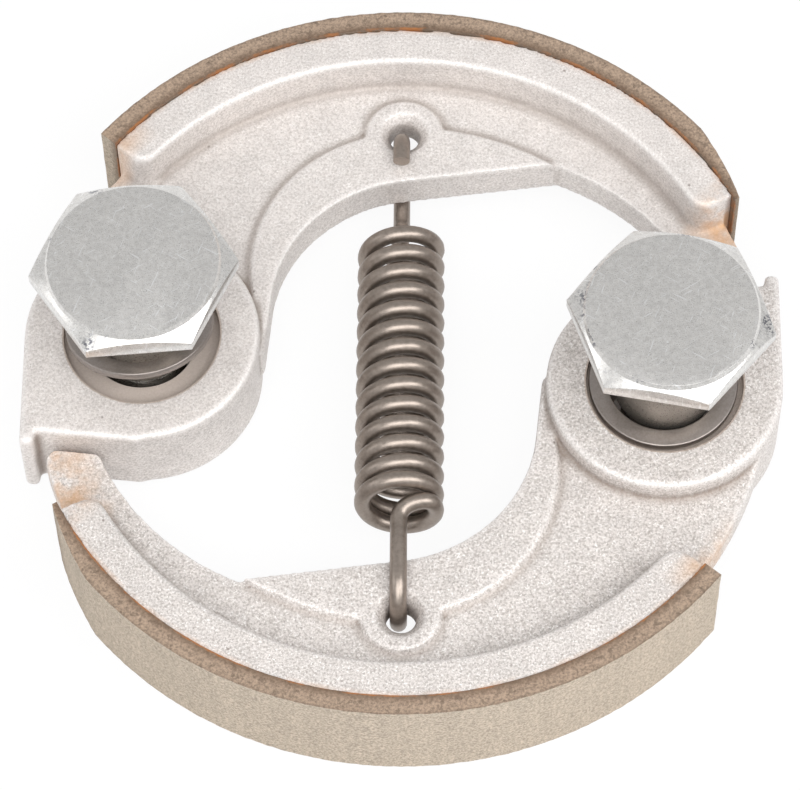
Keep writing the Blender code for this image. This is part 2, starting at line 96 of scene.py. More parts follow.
class ClutchSizes(bpy.types.PropertyGroup):
    """Sizes of the modelled pieces, in metres."""

    grain: length("Casting fineness", "Edge length of the casting's remeshed skin", 0.00026)
    softening: bpy.props.IntProperty(
        name="Casting softness", description="Smoothing passes that round the cast edges", default=5)
    unevenness: length("Casting unevenness", "Depth of the casting's slow waves", 0.00005)
    bond_radius: length("Bond radius", "Radius of the joint between the rim and its lining", 0.0361)
    rim_low: length("Rim underside", "Height of the rim's lower edge", 0.0003)
    rim_top: length("Rim top", "Height of the rim's upper edge", 0.0117)
    lining_start: bpy.props.FloatProperty(
        name="Lining start", description="Angle of the lining's thin end", default=math.radians(33),
        subtype="ANGLE", unit="ROTATION")
    lining_end: bpy.props.FloatProperty(
        name="Lining end", description="Angle of the lining's thick end", default=math.radians(147),
        subtype="ANGLE", unit="ROTATION")
    eye_radius: length("Eye radius", "Radius of the shoe's hole for the bolt", 0.0052)
    counterbore_radius: length("Counterbore radius", "Radius of the machined seat of the washer", 0.0075)
    counterbore_floor: length("Counterbore floor", "Height of the machined seat of the washer", 0.0088)
    washer_radius: length("Washer radius", "Outer radius of the washer", 0.0071)
    washer_bore: length("Washer bore", "Inner radius of the washer", 0.0053)
    washer_thickness: length("Washer thickness", "Thickness of the washer", 0.0008)
    head_across_flats: length("Across flats", "Width of the bolt's hexagon head", 0.0170)
    head_height: length("Head height", "Height of the bolt's hexagon head", 0.0025)
    head_face_radius: length("Head face radius", "Radius of the flat on top of the head", 0.0080)
    shoulder_radius: length("Shoulder radius", "Radius of the bolt's ground shoulder", 0.0049)
    shoulder_end: length("Shoulder end", "Height at which the thread begins", 0.0094)
    thread_radius: length("Thread radius", "Radius over the crests of the thread", 0.0040)
    thread_pitch: length("Thread pitch", "Rise of the thread in one turn", 0.00125)
    wire_radius: length("Wire radius", "Radius of the spring wire", 0.00082)
    coil_radius: length("Coil radius", "Radius of the coil at the middle of its wire", 0.00345)
    coil_length: length("Coil length", "Length of the coil between the middles of its end turns", 0.0313)
    coil_turns: bpy.props.FloatProperty(
        name="Coil turns", description="Turns of the spring between its two hooks", default=14.305)


class ClutchColours(bpy.types.PropertyGroup):
    """Colours of the finishes, as sRGB hex values."""

    casting: tone("Casting", "Bare cast aluminium", "#E8E2DE")
    casting_grain: tone("Casting grain", "Low spots of the cast skin", "#A39A94")
    stain: tone("Rust bloom", "Orange bloom beside the bond line", "#D4A473")
    lining: tone("Lining face", "Ground outer face of the lining", "#B6A999")
    lining_edge: tone("Lining edge", "Cut edge of the lining", "#9D8977")
    adhesive: tone("Bond line", "Rusty adhesive line", "#AE6E39")
    zinc: tone("Zinc plating", "Bolt plating", "#E8E6E3")
    shoulder: tone("Bolt shoulder", "Oiled steel shoulder", "#A9A49D")
    washer: tone("Washer", "Phosphated washer", "#9C948F")
    wire: tone("Spring wire", "Oil-tempered wire", "#9C9188")
    floor: tone("Floor", "Floor and backdrop", "#F4F4F4")


# Common steps

def polar(radius, angle):
    """Level point at a radius and an angle about the clutch axis."""
    return radius * Vector((math.cos(angle), math.sin(angle), 0))


# The hook hole of the rear shoe
HOOK_WAY = polar(1, math.radians(95.8))
HOOK_HOLE_DISTANCE = 0.0262
HOOK_HOLE_RADIUS = 0.00145


def choose(piece):
    """Make a piece the only selected one and the active one."""
    bpy.ops.object.select_all(action="DESELECT")
    piece.select_set(True)
    bpy.context.view_layer.objects.active = piece


def modify(piece, kind, **settings):
    """Add a modifier with its settings and apply it."""
    choose(piece)
    bpy.ops.object.modifier_add(type=kind)
    modifier = piece.modifiers[-1]
    for name, value in settings.items():
        setattr(modifier, name, value)
    bpy.ops.object.modifier_apply(modifier=modifier.name)


def soften_edges(piece, width, segments, angle):
    """Bevel the edges of a piece that are sharper than an angle in degrees."""
    modify(piece, "BEVEL", width=width, segments=segments, limit_method="ANGLE",
           angle_limit=math.radians(angle))


def combine(piece, other, operation):
    """Join another shape to a piece or cut it out, and drop the other shape."""
    modify(piece, "BOOLEAN", object=other, operation=operation, solver="EXACT")
    bpy.data.objects.remove(other)


def settle(piece, name):
    """Apply a piece's place to its mesh and name it."""
    choose(piece)
    bpy.ops.object.transform_apply(location=True, rotation=True, scale=True)
    piece.name = piece.data.name = name
    return piece


def face_outwards(piece):
    """Merge doubled points and turn every face outwards."""
    choose(piece)
    bpy.ops.object.mode_set(mode="EDIT")
    bpy.ops.mesh.select_all(action="SELECT")
    bpy.ops.mesh.remove_doubles(threshold=MERGE_DISTANCE)
    bpy.ops.mesh.normals_make_consistent(inside=False)
    bpy.ops.object.mode_set(mode="OBJECT")


def finish_piece(piece, material, slot, body, *nodes, angle=math.radians(35)):
    """Shade a piece, give it its finish and its body, and hide the CAD nodes that it stands for."""
    choose(piece)
    bpy.ops.object.shade_smooth_by_angle(angle=angle)
    piece.data.materials.clear()
    piece.data.materials.append(material)
    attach(piece, body)
    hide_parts(*nodes)


def rod(radius, low, high, centre, sides=128):
    """A plain rod between two heights, to cut with or to plug a hole."""
    bpy.ops.mesh.primitive_cylinder_add(
        vertices=sides, radius=radius, depth=high - low, location=(centre.x, centre.y, (low + high) / 2))
    return settle(bpy.context.active_object, "rod")


def curved_bar(inner, outer, low, high, start, end, cuts):
    """A bar bent about the drum's axis, between two radii, two heights and two angles."""
    bpy.ops.object.select_all(action="DESELECT")
    bpy.ops.mesh.primitive_plane_add(
        size=1, location=((inner + outer) / 2, 0, (low + high) / 2), rotation=(math.pi / 2, 0, 0))
    bar = bpy.context.active_object
    bar.scale = (outer - inner, high - low, 1)
    settle(bar, "bar")
    bar.data.transform(Matrix.Rotation(start, 4, "Z"))
    choose(bar)
    bpy.ops.object.mode_set(mode="EDIT")
    bpy.ops.mesh.select_all(action="SELECT")
    bpy.ops.mesh.subdivide(number_cuts=cuts)
    bpy.ops.mesh.select_all(action="SELECT")
    bpy.ops.mesh.spin(steps=LINING_STEPS, angle=start - end, center=(0, 0, 0), axis=(0, 0, 1))
    bpy.ops.object.mode_set(mode="OBJECT")
    face_outwards(bar)
    return bar


def merged_copy(node, name):
    """A copy of a CAD node with a mesh of its own, its loose triangles merged."""
    piece = bpy.data.objects.new(name, frame["nodes"][node].data.copy())
    bpy.context.scene.collection.objects.link(piece)
    piece.data.name = name
    choose(piece)
    bpy.ops.object.mode_set(mode="EDIT")
    bpy.ops.mesh.select_all(action="SELECT")
    bpy.ops.mesh.remove_doubles(threshold=MERGE_DISTANCE)
    bpy.ops.object.mode_set(mode="OBJECT")
    bpy.ops.mesh.customdata_custom_splitnormals_clear()
    return piece


def note_hollows_and_edges(piece):
    """Give a fine skin a colour attribute for painted shade and highlights: half on flats, less in hollows
    and more on edges.
    """
    choose(piece)
    flat, spread = math.pi / 2, 0.16
    bpy.ops.geometry.color_attribute_add(
        name="painted_shade_and_highlight", domain="CORNER", data_type="FLOAT_COLOR", color=(1, 1, 1, 1))
    bpy.ops.paint.vertex_color_dirt(
        blur_iterations=2, dirt_angle=flat - spread, clean_angle=flat + spread, normalize=False)


def select_faces(piece, test):
    """Select the faces of a piece that pass a test, and no other face, edge or point."""
    choose(piece)
    bpy.ops.object.mode_set(mode="EDIT")
    bpy.ops.mesh.select_mode(type="FACE")
    bpy.ops.mesh.select_all(action="DESELECT")
    bpy.ops.object.mode_set(mode="OBJECT")
    for face in piece.data.polygons:
        face.select = test(face)
    bpy.ops.object.mode_set(mode="EDIT")


# Finishes

def linear(colour):
    """Linear RGBA of an sRGB hex colour."""
    parts = [int(colour[i:i + 2], 16) / 255 for i in (1, 3, 5)]
    return [p / 12.92 if p <= 0.04045 else ((p + 0.055) / 1.055) ** 2.4 for p in parts] + [1]


def add(tree, kind, inputs=None, **settings):
    """Add a node with its settings, and set or link its inputs."""
    node = tree.nodes.new(kind)
    for name, value in settings.items():
        setattr(node, name, value)
    for name, value in (inputs or {}).items():
        if isinstance(value, bpy.types.NodeSocket):
            tree.links.new(value, node.inputs[name])
        else:
            node.inputs[name].default_value = value
    return node


def start_material(name, **constants):
    """A new material with its constants on the shader's own sockets."""
    material = bpy.data.materials.new(name)
    material.use_nodes = True
    shader = material.node_tree.nodes["Principled BSDF"]
    for socket, value in constants.items():
        shader.inputs[socket.replace("_", " ")].default_value = value
    return material, material.node_tree, shader


def ramp(tree, value, low, high, start=0.0, end=1.0):
    """Output that runs from start to end while a value runs from low to high."""
    return add(tree, "ShaderNodeMapRange", {
        "Value": value, "From Min": low, "From Max": high, "To Min": start, "To Max": end}).outputs["Result"]


def window(tree, value, start, rise, fall, end):
    """Output that is one while a value is between rise and fall, and fades to nothing at start and end."""
    return times(tree, ramp(tree, value, start, rise), ramp(tree, value, fall, end, 1, 0))


def calculate(tree, operation, *values):
    """Output of a calculation."""
    return add(tree, "ShaderNodeMath", dict(enumerate(values)), operation=operation).outputs["Value"]


def times(tree, one, other):
    """Output of one value times another."""
    return calculate(tree, "MULTIPLY", one, other)


def mix(tree, share, one, other):
    """Output of two colours mixed by a share."""
    node = add(tree, "ShaderNodeMix", {"Factor": share, "A": one, "B": other}, data_type="RGBA")
    return node.outputs["Result"]


def tinted(tree, share, skin, colour):
    """Output of a skin that takes on a share of a hex colour."""
    return mix(tree, share, skin, linear(colour))


def scaled(tree, colour, factor):
    """Output of a colour made lighter or darker."""
    node = add(tree, "ShaderNodeVectorMath", {0: colour, "Scale": factor}, operation="SCALE")
    return node.outputs["Vector"]


def grains(tree, place, scale, detail=2, roughness=0.6):
    """Output of a noise pattern."""
    return add(tree, "ShaderNodeTexNoise", {
        "Vector": place, "Scale": scale, "Detail": detail, "Roughness": roughness}).outputs["Fac"]


def cells(tree, place, scale):
    """Output with the distance from the nearest of scattered points."""
    return add(tree, "ShaderNodeTexVoronoi", {
        "Vector": place, "Scale": scale, "Randomness": 1.0}).outputs["Distance"]


def level_distance(tree, place, point):
    """Output with the level distance from a point."""
    flat = add(tree, "ShaderNodeVectorMath", {0: place, 1: (1, 1, 0)}, operation="MULTIPLY")
    return add(tree, "ShaderNodeVectorMath", {0: flat.outputs["Vector"], 1: (point.x, point.y, 0)},
               operation="DISTANCE").outputs["Value"]


def upward(tree):
    """Output with the upward part of the surface's direction."""
    facing = add(tree, "ShaderNodeNewGeometry").outputs["Normal"]
    return add(tree, "ShaderNodeSeparateXYZ", {"Vector": facing}).outputs["Z"]


def emboss(tree, shader, height, strength, distance):
    """Give the shader a fine relief."""
    relief = add(tree, "ShaderNodeBump", {"Height": height, "Strength": strength, "Distance": distance})
    tree.links.new(relief.outputs["Normal"], shader.inputs["Normal"])


def cast_aluminium(name, colours, sizes, turn, contrast):
    """Aluminium as it left a sand-faced mould: matt and pitted, with painted glints for its sparkle, painted
    shade in its hollows and round the hook hole, painted highlights on its edges, rust and a brown seat.
    """
    material, tree, shader = start_material(name, Metallic=0.3)
    place = add(tree, "ShaderNodeTexCoord").outputs["Object"]
    own = add(tree, "ShaderNodeMapping", {"Vector": place, "Rotation": (0, 0, turn)}).outputs["Vector"]
    # Sand grains are 0.2 to 0.4 mm across
    grain = grains(tree, own, 4200, 3, 0.75)
    painted_glint = grains(tree, own, 5200, 1, 0.5)
    skin = mix(tree, ramp(tree, grain, 0.34, 0.6, 1 - contrast, 1), linear(colours.casting_grain),
               linear(colours.casting))
    # The glints are painted highlights: white flecks mixed into the colour
    skin = tinted(tree, ramp(tree, painted_glint, 0.6, 0.7, 0, 0.9 * contrast), skin, "#FFFCFA")
    skin = scaled(tree, skin, ramp(tree, grains(tree, own, 420, 3), 0.3, 0.7, 0.91, 1.03))
    # Painted shade darkens the hollows and painted highlights brighten the edges
    painted_shade_and_highlight = add(tree, "ShaderNodeAttribute", attribute_name="painted_shade_and_highlight").outputs["Fac"]
    skin = tinted(tree, ramp(tree, painted_shade_and_highlight, 0.18, 0.48, 0.8, 0), skin, "#84756A")
    skin = tinted(tree, ramp(tree, painted_shade_and_highlight, 0.58, 1.0, 0, 0.5), skin, "#FFFCFA")
    # Pits are about a quarter of a millimetre wide and far apart
    skin = tinted(tree, ramp(tree, cells(tree, own, 330), 0.02, 0.06, 0.8, 0), skin, "#7F736B")
    # Oil and dust have browned the washer's seat, and a ring round the hook hole is darkened as painted shade
    seat = level_distance(tree, own, PIVOT["rear_shoe"])
    reach = sizes.counterbore_radius + 0.0001
    skin = tinted(tree, ramp(tree, seat, reach, reach + 0.0001, 0.6, 0), skin, "#A8927F")
    # Painted shade: a dark ring round the hook hole
    hole = level_distance(tree, own, HOOK_HOLE_DISTANCE * HOOK_WAY)
    hook_hole_shade_reach = HOOK_HOLE_RADIUS + 0.0001
    skin = tinted(tree, ramp(tree, hole, hook_hole_shade_reach, hook_hole_shade_reach + 0.0003, 0.4, 0), skin, "#6E5C50")
    # Rust blooms in patches along the bond line and on the outer edges at the two ends of the rim
    patch = ramp(tree, grains(tree, own, 170, 4, 0.7), 0.4, 0.6)
    radius = level_distance(tree, own, ORIGIN)
    parts = add(tree, "ShaderNodeSeparateXYZ", {"Vector": own})
    azimuth = calculate(tree, "ARCTAN2", parts.outputs["Y"], parts.outputs["X"])
    tip = window(tree, azimuth, *(math.radians(angle) for angle in (5, 10, 33, 38)))
    heel = window(tree, azimuth, *(math.radians(angle) for angle in (140, 146, 153, 160)))
    along = window(tree, azimuth, *(math.radians(angle) for angle in (30, 33, 147, 150)))
    bloom = times(tree, tip, ramp(tree, radius, 0.0306, 0.0350, 0.1, 0.9))
    bloom = calculate(tree, "MAXIMUM", bloom, times(tree, heel, ramp(tree, radius, 0.0336, 0.0353, 0, 0.5)))
    bloom = calculate(tree, "MAXIMUM", bloom, times(tree, along, ramp(tree, radius, 0.0355, 0.0361, 0, 0.5)))
    skin = tinted(tree, times(tree, bloom, patch), skin, colours.stain)
    tree.links.new(skin, shader.inputs["Base Color"])
    tree.links.new(ramp(tree, grain, 0.35, 0.65, 0.62, 0.42), shader.inputs["Roughness"])
    emboss(tree, shader, grain, 0.5 * contrast, 0.00012)
    return material


def friction_lining(colours):
    """Moulded resin and fibre: a dusty ground face, darker speckled edges and a rusty line of adhesive."""
    material, tree, shader = start_material("moulded_friction_lining", Roughness=0.85)
    shader.inputs["Specular IOR Level"].default_value = 0.3
    place = add(tree, "ShaderNodeTexCoord").outputs["Object"]
    radius = level_distance(tree, place, ORIGIN)
    edge = ramp(tree, calculate(tree, "ABSOLUTE", upward(tree)), 0.3, 0.8)
    # Filler grains are about 0.25 mm, the fibre clumps about 0.6 mm, the grinding streaks upright
    speckle = grains(tree, place, 4200, 3, 0.7)
    clump = grains(tree, place, 1500, 3)
    upright = add(tree, "ShaderNodeMapping", {"Vector": place, "Scale": (1, 1, 0.06)}).outputs["Vector"]
    streak = ramp(tree, grains(tree, upright, 900, 3), 0.3, 0.7, 0.95, 1.05)
    skin = tinted(tree, edge, scaled(tree, linear(colours.lining)[:3], streak), colours.lining_edge)
    skin = scaled(tree, skin, ramp(tree, speckle, 0.34, 0.66, 0.62, 1.26))
    skin = tinted(tree, times(tree, edge, ramp(tree, clump, 0.36, 0.44, 0.45, 0)), skin, "#51443B")
    # The edge is sooty beside the joint and has a worn dark line along its outer corner
    skin = tinted(tree, ramp(tree, radius, 0.0361, 0.0370, 0.75, 0), skin, "#5B4636")
    skin = tinted(tree, times(tree, edge, ramp(tree, radius, 0.03775, 0.03790, 0, 0.25)), skin, "#4D423A")
    # The adhesive shows in patches
    patch = ramp(tree, grains(tree, place, 260, 4, 0.7), 0.45, 0.6, 0, 0.75)
    wander = calculate(tree, "MULTIPLY_ADD", clump, 0.0004, radius)
    skin = tinted(tree, times(tree, patch, ramp(tree, wander, 0.03635, 0.0365, 1, 0)), skin, colours.adhesive)
    tree.links.new(skin, shader.inputs["Base Color"])
    emboss(tree, shader, speckle, 0.5, 0.0001)
    return material


def zinc_plate(colours):
    """Zinc-plated steel: satin on the milled top, with hair scratches, bright specks of painted glint and
    sooty chamfers.
    """
    material, tree, shader = start_material("zinc_plated_steel", Metallic=1.0)
    place = add(tree, "ShaderNodeTexCoord").outputs["Object"]
    # The satin grain is a tenth of a millimetre
    satin = grains(tree, place, 9000)
    both = calculate(tree, "ADD", satin, grains(tree, place, 2600, 3))
    skin = scaled(tree, linear(colours.zinc)[:3], ramp(tree, both, 0.7, 1.3, 0.8, 1.14))
    # Scratches are hair-fine; they are drawn 0.06 mm wide so that they show
    for angle, scale, rare, strength in (
            (38, 420, 0.7, 0.8), (-25, 380, 0.7, 0.8), (75, 520, 0.7, 0.8),
            (10, 1300, 0.6, 0.3), (120, 1500, 0.6, 0.3)):
        stretched = add(tree, "ShaderNodeMapping", {
            "Vector": place, "Rotation": (0, 0, math.radians(angle)), "Scale": (1, 0.09, 1)},
            vector_type="TEXTURE").outputs["Vector"]
        scratch = grains(tree, stretched, scale, 1, 0.5)
        skin = tinted(tree, ramp(tree, scratch, rare, rare + 0.04, 0, strength), skin, "#FFFFFF")
    # The bright specks are painted glints: white points mixed into the colour
    skin = tinted(tree, ramp(tree, cells(tree, place, 420), 0.03, 0.05, 0.9, 0), skin, "#FFFFFF")
    # Soot sits in patches on the chamfers
    sloped = window(tree, upward(tree), 0.3, 0.4, 0.94, 0.98)
    dots = times(tree, ramp(tree, grains(tree, place, 240, 2), 0.58, 0.66),
                 ramp(tree, grains(tree, place, 3600, 2), 0.48, 0.56, 0, 0.75))
    skin = tinted(tree, times(tree, sloped, dots), skin, "#4B4E60")
    tree.links.new(skin, shader.inputs["Base Color"])
    tree.links.new(ramp(tree, satin, 0.3, 0.7, 0.26, 0.38), shader.inputs["Roughness"])
    emboss(tree, shader, satin, 0.2, 0.00003)
    return material


def steel(name, colour, roughness, grain_scale):
    """Dark oiled steel with a soft satin sheen and a little dust in its grain."""
    material, tree, shader = start_material(name, Metallic=0.9)
    place = add(tree, "ShaderNodeTexCoord").outputs["Object"]
    grain = grains(tree, place, grain_scale, 4, 0.65)
    skin = scaled(tree, linear(colour)[:3], ramp(tree, grain, 0.3, 0.7, 0.84, 1.14))
    tree.links.new(skin, shader.inputs["Base Color"])
    sheen = ramp(tree, grain, 0.3, 0.7, roughness - 0.06, roughness + 0.06)
    tree.links.new(sheen, shader.inputs["Roughness"])
    emboss(tree, shader, grain, 0.2, 0.00004)
    return material


def paper_floor(colours):
    """Matt white paper that shows white to the camera and keeps a faint shadow."""
    material, tree, shader = start_material("white_paper", Roughness=0.9)
    shader.inputs["Base Color"].default_value = linear(colours.floor)
    glow = add(tree, "ShaderNodeEmission", {"Color": (1, 1, 1, 1), "Strength": 1.0})
    path = add(tree, "ShaderNodeLightPath")
    seen = calculate(tree, "MAXIMUM", path.outputs["Is Camera Ray"], path.outputs["Is Glossy Ray"])
    clear = calculate(tree, "MAXIMUM", seen, path.outputs["Is Transmission Ray"])
    # Under the two eyes the paper stays as dark as it really is
    place = add(tree, "ShaderNodeTexCoord").outputs["Object"]
    folded = add(tree, "ShaderNodeVectorMath", {0: place}, operation="ABSOLUTE").outputs["Vector"]
    reach = level_distance(tree, folded, PIVOT["front_shoe"])
    share = times(tree, clear, ramp(tree, reach, 0.0060, 0.0064, 0, 0.92))
    blend = add(tree, "ShaderNodeMixShader", {
        "Fac": share, 1: shader.outputs["BSDF"], 2: glow.outputs["Emission"]})
    output = tree.nodes["Material Output"]
    tree.links.new(blend.outputs["Shader"], output.inputs["Surface"])
    return material


# Castings

class CLUTCH_OT_castings(bpy.types.Operator):
    """Model the two cast shoes with their rounded cast edges and machined seats"""

    bl_idname = "clutch.castings"
    bl_label = "Cast shoes"

    WAVE_LENGTH, WAVE_LEVEL = 0.006, 0.75
    PLUG_LOW, PLUG_HIGH = 0.0010, 0.0100
    SEAT_DEPTH, SEAT_OVERLAP = 0.0015, 0.00005
    CUT_LOW, CUT_HIGH = -0.005, 0.03

    def execute(self, context):
        sizes = context.scene.clutch_sizes
        waves = bpy.data.textures.new("casting_waves", "CLOUDS")
        waves.noise_scale = self.WAVE_LENGTH
        for node, body, contrast in (("shoe_rear", "rear_shoe", 0.6), ("shoe_front", "front_shoe", 0.9)):
            pivot = PIVOT[body]
            finish = cast_aluminium(
                "sand_cast_aluminium_" + node, context.scene.clutch_colours, sizes, TURN[body], contrast)
            casting = merged_copy(node, node + "_casting")
            # The eye is plugged while the skin is softened, so that its edges are cut sharp afterwards
            plug = rod(sizes.counterbore_radius + 0.0003, self.PLUG_LOW, self.PLUG_HIGH, pivot)
            combine(casting, plug, "UNION")
            seat = curved_bar(
                sizes.bond_radius - self.SEAT_DEPTH, sizes.bond_radius + self.SEAT_OVERLAP, sizes.rim_low,
                sizes.rim_top, sizes.lining_start + math.radians(1), sizes.lining_end, 1)
            seat.data.transform(Matrix.Rotation(TURN[body], 4, "Z"))
            combine(casting, seat, "UNION")
            modify(casting, "REMESH", mode="VOXEL", voxel_size=sizes.grain, adaptivity=0.0)
            modify(casting, "SMOOTH", factor=0.5, iterations=sizes.softening)
            modify(casting, "DISPLACE", texture=waves, texture_coords="LOCAL", strength=sizes.unevenness,
                   mid_level=self.WAVE_LEVEL)
            # The attribute drives painted shade in the hollows and painted highlights on the edges
            note_hollows_and_edges(casting)
            for radius, low in (
                    (sizes.eye_radius, self.CUT_LOW), (sizes.counterbore_radius, sizes.counterbore_floor)):
                combine(casting, rod(radius, low, self.CUT_HIGH, pivot), "DIFFERENCE")
            finish_piece(casting, finish, "cast_aluminium", body, node)
        return {"FINISHED"}


# Linings

class CLUTCH_OT_linings(bpy.types.Operator):
    """Model the two friction linings, each with its ground lead-in at the thin end"""

    bl_idname = "clutch.linings"
    bl_label = "Linings"

    LEAD_ANGLE, LEAD_TIP = math.radians(13), 0.0005
    FACE_ROUGHNESS, FACE_GRAIN = 0.00005, 1400
    EDGE_ROUGHNESS, EDGE_GRAIN = 0.00006, 1100

    def execute(self, context):
        sizes = context.scene.clutch_sizes
        finish = friction_lining(context.scene.clutch_colours)
        inner = sizes.bond_radius
        thickness = LINING_RADIUS - inner
        for node, body in (("lining_rear", "rear_shoe"), ("lining_front", "front_shoe")):
            lining = curved_bar(
                inner, LINING_RADIUS, 0, LINING_WIDTH, sizes.lining_start, sizes.lining_end, 9)
            lining.name = lining.data.name = node + "_facing"
            for point in lining.data.vertices:
                angle = math.atan2(point.co.y, point.co.x)
                share = min(1.0, max(0.0, (angle - sizes.lining_start) / self.LEAD_ANGLE))
                radius = math.hypot(point.co.x, point.co.y)
                full = thickness * share + self.LEAD_TIP * (1 - share)
                moved = inner + (radius - inner) * full / thickness
                rough = self.FACE_ROUGHNESS * noise.noise(point.co * self.FACE_GRAIN)
                moved += rough if radius > LINING_RADIUS - 0.0001 else 0
                drop = self.EDGE_ROUGHNESS * abs(noise.noise(point.co * self.EDGE_GRAIN + Vector((7, 0, 0))))
                point.co.x, point.co.y = moved * math.cos(angle), moved * math.sin(angle)
                point.co.z += drop if point.co.z < LINING_WIDTH / 2 else -drop
            lining.data.transform(Matrix.Rotation(TURN[body], 4, "Z"))
            finish_piece(lining, finish, "friction_lining", body, node, angle=math.radians(40))
        return {"FINISHED"}


# Bolts

class CLUTCH_OT_bolts(bpy.types.Operator):
    """Model the two shoulder bolts with chamfered heads and threaded ends"""

    bl_idname = "clutch.bolts"
    bl_label = "Shoulder bolts"

    CHAMFER_SLOPE = math.tan(math.radians(32))
    FACE_STEP, FACE_CREASE, CONE_FOOT = 0.0004, 0.0002, 0.002
    THREAD_BITE, THREAD_CUTS, THREAD_LEAD_IN = 0.0002, 60, 0.0008

    def execute(self, context):
        sizes = context.scene.clutch_sizes
        colours = context.scene.clutch_colours
        plate = zinc_plate(colours)
        dark = steel("oiled_steel_shoulder", colours.shoulder, 0.3, 6000)
        for node, body, turn in (
                ("pivot_bolt_left", "rear_shoe", math.radians(11)),
                ("pivot_bolt_right", "front_shoe", math.radians(-4.5))):
            head = self.head(sizes, PIVOT[body], turn)
            shank = self.shank(sizes, PIVOT[body])
            choose(head)
            shank.select_set(True)
            for piece, material in ((head, plate), (shank, dark)):
                piece.data.materials.clear()
                piece.data.materials.append(material)
            bpy.ops.object.join()
            head.name = head.data.name = node + "_bolt"
            bpy.ops.object.shade_smooth_by_angle(angle=math.radians(28))
            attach(head, "bolts")
            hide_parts(node)
        return {"FINISHED"}

    def head(self, sizes, pivot, turn):
        """Hexagon head with a low round face that a cone chamfers round its foot."""
        corner = sizes.head_across_flats / math.sqrt(3)
        underside = HEAD_TOP - sizes.head_height
        bpy.ops.mesh.primitive_cylinder_add(
            vertices=6, radius=corner, depth=sizes.head_height,
            location=(pivot.x, pivot.y, underside + sizes.head_height / 2),
            rotation=(0, 0, turn + math.pi / 6 + math.pi / 3))
        head = settle(bpy.context.active_object, "head")
        step_radius = sizes.head_face_radius + self.FACE_CREASE
        reach = corner + sizes.head_height
        high = HEAD_TOP - self.FACE_STEP
        low = high - (reach - step_radius) * self.CHAMFER_SLOPE
        bpy.ops.mesh.primitive_cone_add(
            vertices=160, radius1=reach, radius2=step_radius, depth=high - low,
            location=(pivot.x, pivot.y, (high + low) / 2))
        envelope = settle(bpy.context.active_object, "envelope")
        select_faces(envelope, lambda face: face.normal.z > 0.95)
        bpy.ops.mesh.extrude_region_move(TRANSFORM_OT_translate={"value": (0, 0, self.FACE_STEP)})
        narrowing = sizes.head_face_radius / step_radius
        bpy.ops.transform.resize(
            value=(narrowing, narrowing, 1), center_override=(pivot.x, pivot.y, HEAD_TOP))
        bpy.ops.object.mode_set(mode="OBJECT")
        select_faces(envelope, lambda face: face.normal.z < -0.9)
        foot = underside - low - self.CONE_FOOT
        bpy.ops.mesh.extrude_region_move(TRANSFORM_OT_translate={"value": (0, 0, foot)})
        bpy.ops.object.mode_set(mode="OBJECT")
        combine(head, envelope, "INTERSECT")
        soften_edges(head, 0.00012, 2, 20)
        return head

    def shank(self, sizes, pivot):
        """Ground shoulder with a cut thread below it."""
        top = HEAD_TOP - sizes.head_height / 2
        shoulder = rod(sizes.shoulder_radius, sizes.shoulder_end, top, pivot, 96)
        soften_edges(shoulder, 0.0002, 2, 40)
        thread = rod(sizes.thread_radius, 0, sizes.shoulder_end + self.THREAD_BITE, pivot, 64)
        choose(thread)
        bpy.ops.object.mode_set(mode="EDIT")
        bpy.ops.mesh.select_mode(type="EDGE")
        bpy.ops.mesh.select_all(action="DESELECT")
        bpy.ops.object.mode_set(mode="OBJECT")
        points = thread.data.vertices
        for edge in thread.data.edges:
            one, two = (points[i].co for i in edge.vertices)
            edge.select = abs(one.z - two.z) > 0.001
        bpy.ops.object.mode_set(mode="EDIT")
        bpy.ops.mesh.subdivide(number_cuts=self.THREAD_CUTS)
        bpy.ops.object.mode_set(mode="OBJECT")
        depth = 0.54 * sizes.thread_pitch
        for point in points:
            offset = point.co - pivot
            angle = math.atan2(offset.y, offset.x) / math.tau
            phase = (point.co.z / sizes.thread_pitch - angle) % 1
            radius = sizes.thread_radius - depth * (1 - abs(2 * phase - 1))
            radius = min(radius, sizes.thread_radius - self.THREAD_LEAD_IN + point.co.z)
            flat = math.hypot(offset.x, offset.y)
            if flat > 0:
                point.co.x = pivot.x + offset.x * radius / flat
                point.co.y = pivot.y + offset.y * radius / flat
        choose(shoulder)
        thread.select_set(True)
        bpy.ops.object.join()
        return shoulder


# Washers

class CLUTCH_OT_washers(bpy.types.Operator):
    """Model the two flat washers, the left one ridden up on one side"""

    bl_idname = "clutch.washers"
    bl_label = "Washers"

    def execute(self, context):
        sizes = context.scene.clutch_sizes
        finish = steel("phosphated_steel_washer", context.scene.clutch_colours.washer, 0.4, 5200)
        seat = Vector((-0.00015, 0.00025, sizes.counterbore_floor + 0.0003))
        heading, tilt = polar(1, math.radians(-70)), math.radians(15.5)
        lift = sizes.washer_radius * math.sin(tilt)
        for node, body in (("washer_left", "rear_shoe"), ("washer_right", "front_shoe")):
            bpy.ops.mesh.primitive_cylinder_add(
                vertices=112, radius=sizes.washer_radius, depth=sizes.washer_thickness,
                location=(0, 0, sizes.washer_thickness / 2))
            washer = settle(bpy.context.active_object, node + "_ring")
            combine(washer, rod(sizes.washer_bore, -0.001, 0.003, ORIGIN, 112), "DIFFERENCE")
            soften_edges(washer, 0.00016, 3, 40)
            place = PIVOT[body] + seat
            if node == "washer_left":
                washer.data.transform(Matrix.Rotation(tilt, 4, Vector((heading.y, -heading.x, 0))))
                place.z += lift
            washer.data.transform(Matrix.Translation(place))
            finish_piece(washer, finish, "dark_steel", body, node)
        return {"FINISHED"}


# Return spring

